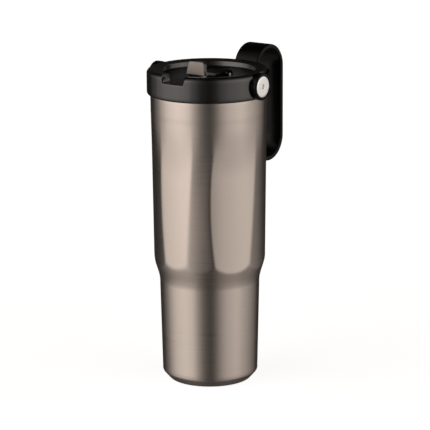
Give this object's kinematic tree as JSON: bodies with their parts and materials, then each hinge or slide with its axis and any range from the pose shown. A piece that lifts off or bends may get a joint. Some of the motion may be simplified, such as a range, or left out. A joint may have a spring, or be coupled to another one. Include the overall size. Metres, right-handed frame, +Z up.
{
  "type": "travel mug",
  "caption": "Double-wall steel travel mug with a screw lid, flip-up sip closure and swinging loop handle.",
  "frame": {"origin": "centre of the foot pad's underside, on the surface the mug stands on", "axes": "+Z up along the cup's axis, -Y towards the sip notch, +Y towards the handle, X along the handle's pivot axis"},
  "size_m": [0.1032, 0.1355, 0.2589],
  "materials": {
    "brushed_shell": "fine brushed, warm graphite",
    "liner_steel": "satin, bare",
    "lid_plastic": "fine satin, black",
    "handle_plastic": "semi-gloss, black",
    "tab_taupe": "satin taupe",
    "silicone": "matt, dark grey",
    "insert_brass": "machined",
    "polished_steel": "polished"
  },
  "bodies": {
    "mug": {"outer_shell": "brushed_shell", "inner_liner": "liner_steel", "base_plate": "brushed_shell", "foot_pad": "silicone", "vacuum_bead": "polished_steel", "getter": "polished_steel"},
    "seal": {"lid_gasket": "silicone"},
    "lid": {"lid_collar": "lid_plastic", "lid_deck": "lid_plastic", "sip_tube": "lid_plastic", "hinge_bracket": "lid_plastic", "plug_cover": "lid_plastic", "pivot_insert_left": "insert_brass", "pivot_insert_right": "insert_brass", "pivot_screw_left": "polished_steel", "pivot_screw_right": "polished_steel", "thrust_washer_left": "silicone", "thrust_washer_right": "silicone", "cap_hinge_pin": "polished_steel", "vent_valve": "silicone"},
    "cap": {"cap_arm": "lid_plastic", "tab_facing": "tab_taupe", "sip_plug": "silicone"},
    "handle": {"handle_frame": "handle_plastic"}
  },
  "joints": [
    {"name": "lid_rise", "type": "slide", "parent": "mug", "child": "seal", "axis": [0, 0, 1], "range_m": [0, 0.024]},
    {"name": "lid_turn", "type": "hinge", "parent": "seal", "child": "lid", "pos_m": [0, 0, 0.231], "axis": [0, 0, 1], "range_deg": [0, 720]},
    {"name": "cap_flip", "type": "hinge", "parent": "lid", "child": "cap", "pos_m": [0, 0.012, 0.243], "axis": [-1, 0, 0], "range_deg": [0, 105]},
    {"name": "handle_swing", "type": "hinge", "parent": "lid", "child": "handle", "pos_m": [0, 0, 0.2391], "axis": [1, 0, 0], "range_deg": [0, 100]}
  ],
  "couplings": [
    {"joint": "lid_rise", "follows": "lid_turn", "m_per_rad": 0.0019098}
  ]
}
